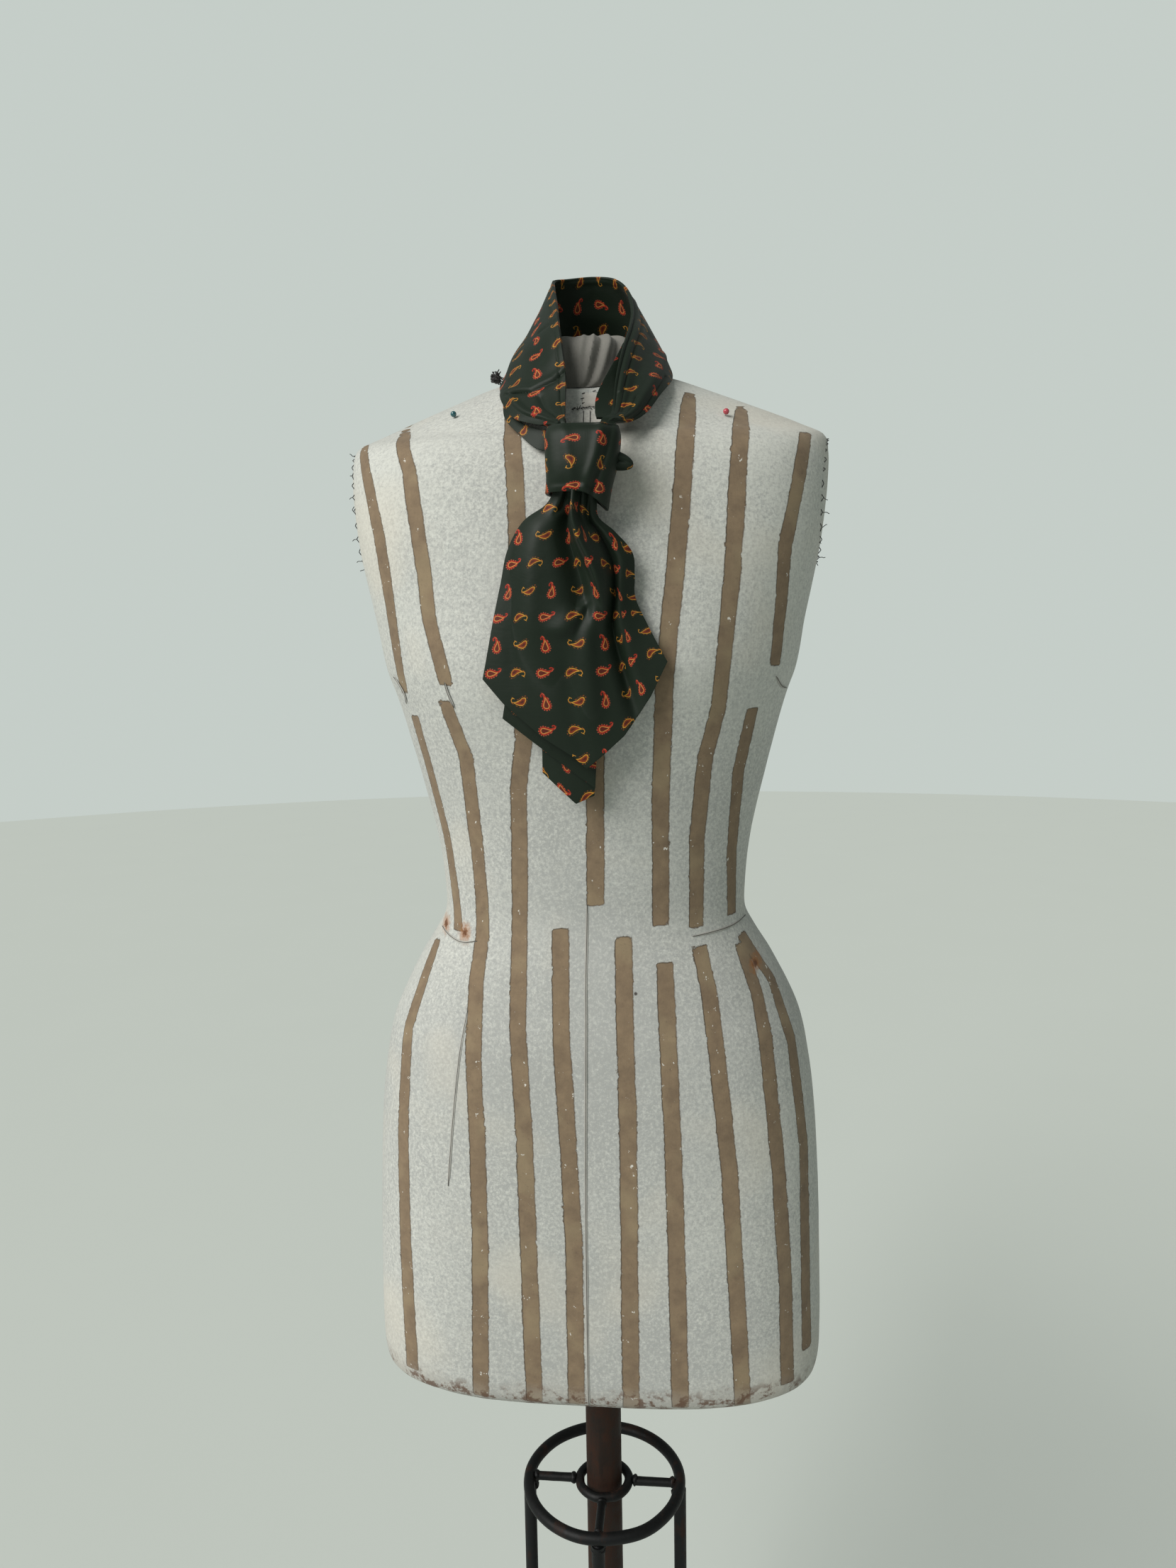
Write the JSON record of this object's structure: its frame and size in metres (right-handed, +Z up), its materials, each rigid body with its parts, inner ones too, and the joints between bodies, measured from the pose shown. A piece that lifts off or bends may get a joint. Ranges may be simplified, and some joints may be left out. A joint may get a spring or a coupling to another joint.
{
  "type": "cravat on a dress form",
  "caption": "Printed silk cravat knotted round the neck of a limbless linen-covered dress form on an iron stand with feet.",
  "frame": {"origin": "on the floor, under the middle of the stand's pole", "axes": "+Z up; the cravat's front faces -Y; +X is the viewer's right from the front"},
  "size_m": [0.446, 0.446, 1.5051],
  "materials": {
    "green_silk": "satin silk twill with small printed paisleys",
    "striped_linen": "matt worn linen with sewn-on brown tape stripes",
    "cap_linen": "matt grey gathered cloth",
    "pin_teal": "gloss",
    "pin_red": "gloss",
    "rusty_iron": "rusted and oiled",
    "black_iron": "satin black paint"
  },
  "bodies": {
    "root": {"band_back": "green_silk", "band_left": "green_silk", "band_right": "green_silk", "band_left_under": "green_silk", "band_right_fold": "green_silk", "knot": "green_silk", "knot_tuck": "green_silk", "front_blade": "green_silk", "tail_front": "green_silk", "tail_back": "green_silk", "form_torso": "striped_linen", "form_neck_cap": "cap_linen", "dress_pin_left": "pin_teal", "dress_pin_right": "pin_red", "stand_pole": "rusty_iron", "stand_socket": "black_iron", "stand_top_ring": "black_iron", "stand_hub_ring": "black_iron", "stand_low_ring": "black_iron", "stand_top_spoke_1": "black_iron", "stand_top_spoke_2": "black_iron", "stand_top_spoke_3": "black_iron", "stand_top_spoke_4": "black_iron", "stand_low_spoke_1": "black_iron", "stand_low_spoke_2": "black_iron", "stand_low_spoke_3": "black_iron", "stand_low_spoke_4": "black_iron", "stand_leg_1": "black_iron", "stand_leg_2": "black_iron", "stand_leg_3": "black_iron", "stand_leg_4": "black_iron", "stand_foot_1": "black_iron", "stand_foot_2": "black_iron", "stand_foot_3": "black_iron", "stand_foot_4": "black_iron"}
  },
  "joints": []
}
